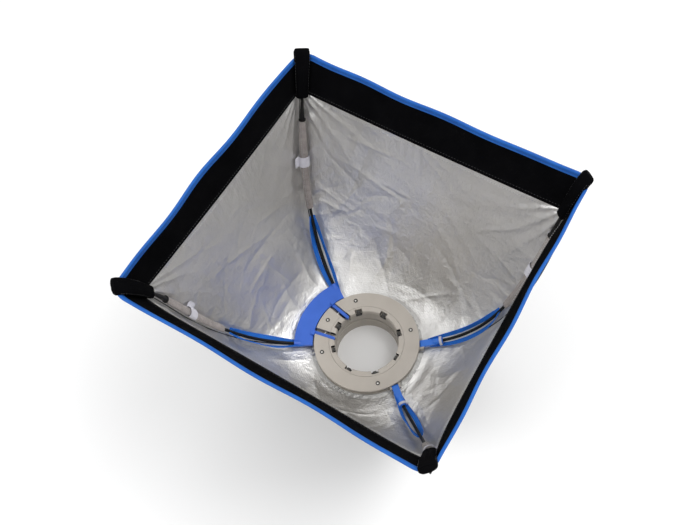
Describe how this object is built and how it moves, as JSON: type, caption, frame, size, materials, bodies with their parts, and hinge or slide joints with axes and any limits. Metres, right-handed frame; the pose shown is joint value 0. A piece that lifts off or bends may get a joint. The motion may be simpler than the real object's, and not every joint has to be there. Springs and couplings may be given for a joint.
{
  "type": "square folding softbox",
  "caption": "Square fabric softbox on a rotating round speed ring, with bowed rods, silver lining, black lip band and a blue quick-release yoke.",
  "frame": {"origin": "centre of the rear mount face of the speed ring", "axes": "+Z along the light path from the rear mount face to the mouth; the release yoke is on the -Y side; +X completes the frame, so the front right corner is at +X -Y"},
  "size_m": [0.443, 0.44, 0.4249],
  "materials": {
    "ring_plate": "fine satin, warm grey",
    "ring_housing": "fine satin, warm grey",
    "clamp_ring": "moulded black",
    "mount_metal": "warm grey satin coat",
    "washer": "smooth black",
    "pin_steel": "bright",
    "blue_plastic": "satin blue coat",
    "blue_binding": "woven binding tape",
    "black_rod": "smooth coated spring rod",
    "black_fabric": "brushed loop fabric and nylon",
    "grey_webbing": "woven tape",
    "white_webbing": "smooth tape",
    "lining": "silver coated, crinkled"
  },
  "bodies": {
    "ring": {"top_plate": "ring_plate", "bore_liner": "ring_plate", "plate_bridge": "ring_plate", "housing_base": "ring_housing", "retaining_ring": "ring_plate", "friction_washer": "washer", "fabric_clamp_ring": "clamp_ring", "back_collar": "lining", "plate_screw_1": "pin_steel", "plate_screw_2": "pin_steel", "plate_screw_3": "pin_steel", "plate_screw_4": "pin_steel", "plate_screw_5": "pin_steel", "yoke_pin_left": "pin_steel", "yoke_pin_right": "pin_steel", "lever_pin_left": "pin_steel", "lever_pin_right": "pin_steel", "wall_left": "lining", "wall_right": "lining", "wall_back": "lining", "lip_band_left": "black_fabric", "lip_band_right": "black_fabric", "lip_band_back": "black_fabric", "rim_binding_left": "blue_binding", "rim_binding_right": "blue_binding", "rim_binding_back": "blue_binding"},
    "mount": {"mount_tube": "mount_metal"},
    "yoke": {"release_yoke": "blue_plastic", "rod_front_left": "black_rod", "rod_tip_front_left": "black_rod", "rod_sleeve_front_left": "grey_webbing", "loop_tab_front_left": "white_webbing", "corner_pocket_front_left": "black_fabric", "slit_binding_front_left": "blue_binding", "rod_front_right": "black_rod", "rod_tip_front_right": "black_rod", "rod_sleeve_front_right": "grey_webbing", "loop_tab_front_right": "white_webbing", "corner_pocket_front_right": "black_fabric", "slit_binding_front_right": "blue_binding", "wall_front": "lining", "lip_band_front": "black_fabric", "rim_binding_front": "blue_binding"},
    "rod_left": {"rod_lever_left": "blue_plastic", "lever_collar_left": "white_webbing", "rod_back_left": "black_rod", "rod_tip_back_left": "black_rod", "rod_sleeve_back_left": "grey_webbing", "loop_tab_back_left": "white_webbing", "corner_pocket_back_left": "black_fabric", "slit_binding_back_left": "blue_binding"},
    "rod_right": {"rod_lever_right": "blue_plastic", "lever_collar_right": "white_webbing", "rod_back_right": "black_rod", "rod_tip_back_right": "black_rod", "rod_sleeve_back_right": "grey_webbing", "loop_tab_back_right": "white_webbing", "corner_pocket_back_right": "black_fabric", "slit_binding_back_right": "blue_binding"}
  },
  "joints": [
    {"name": "mount_rotate", "type": "hinge", "parent": "ring", "child": "mount", "pos_m": [0, 0, 0.011], "axis": [0, 0, 1], "continuous": true},
    {"name": "yoke_release", "type": "hinge", "parent": "ring", "child": "yoke", "pos_m": [0, -0.0677, 0.0502], "axis": [-1, 0, 0], "range_deg": [0, 28]},
    {"name": "left_rod_fold", "type": "hinge", "parent": "ring", "child": "rod_left", "pos_m": [-0.0418, 0.0779, 0.0496], "axis": [0.766, 0.6428, 0], "range_deg": [0, 38]},
    {"name": "right_rod_fold", "type": "hinge", "parent": "ring", "child": "rod_right", "pos_m": [0.0418, 0.0779, 0.0496], "axis": [0.766, -0.6428, 0], "range_deg": [0, 38]}
  ]
}
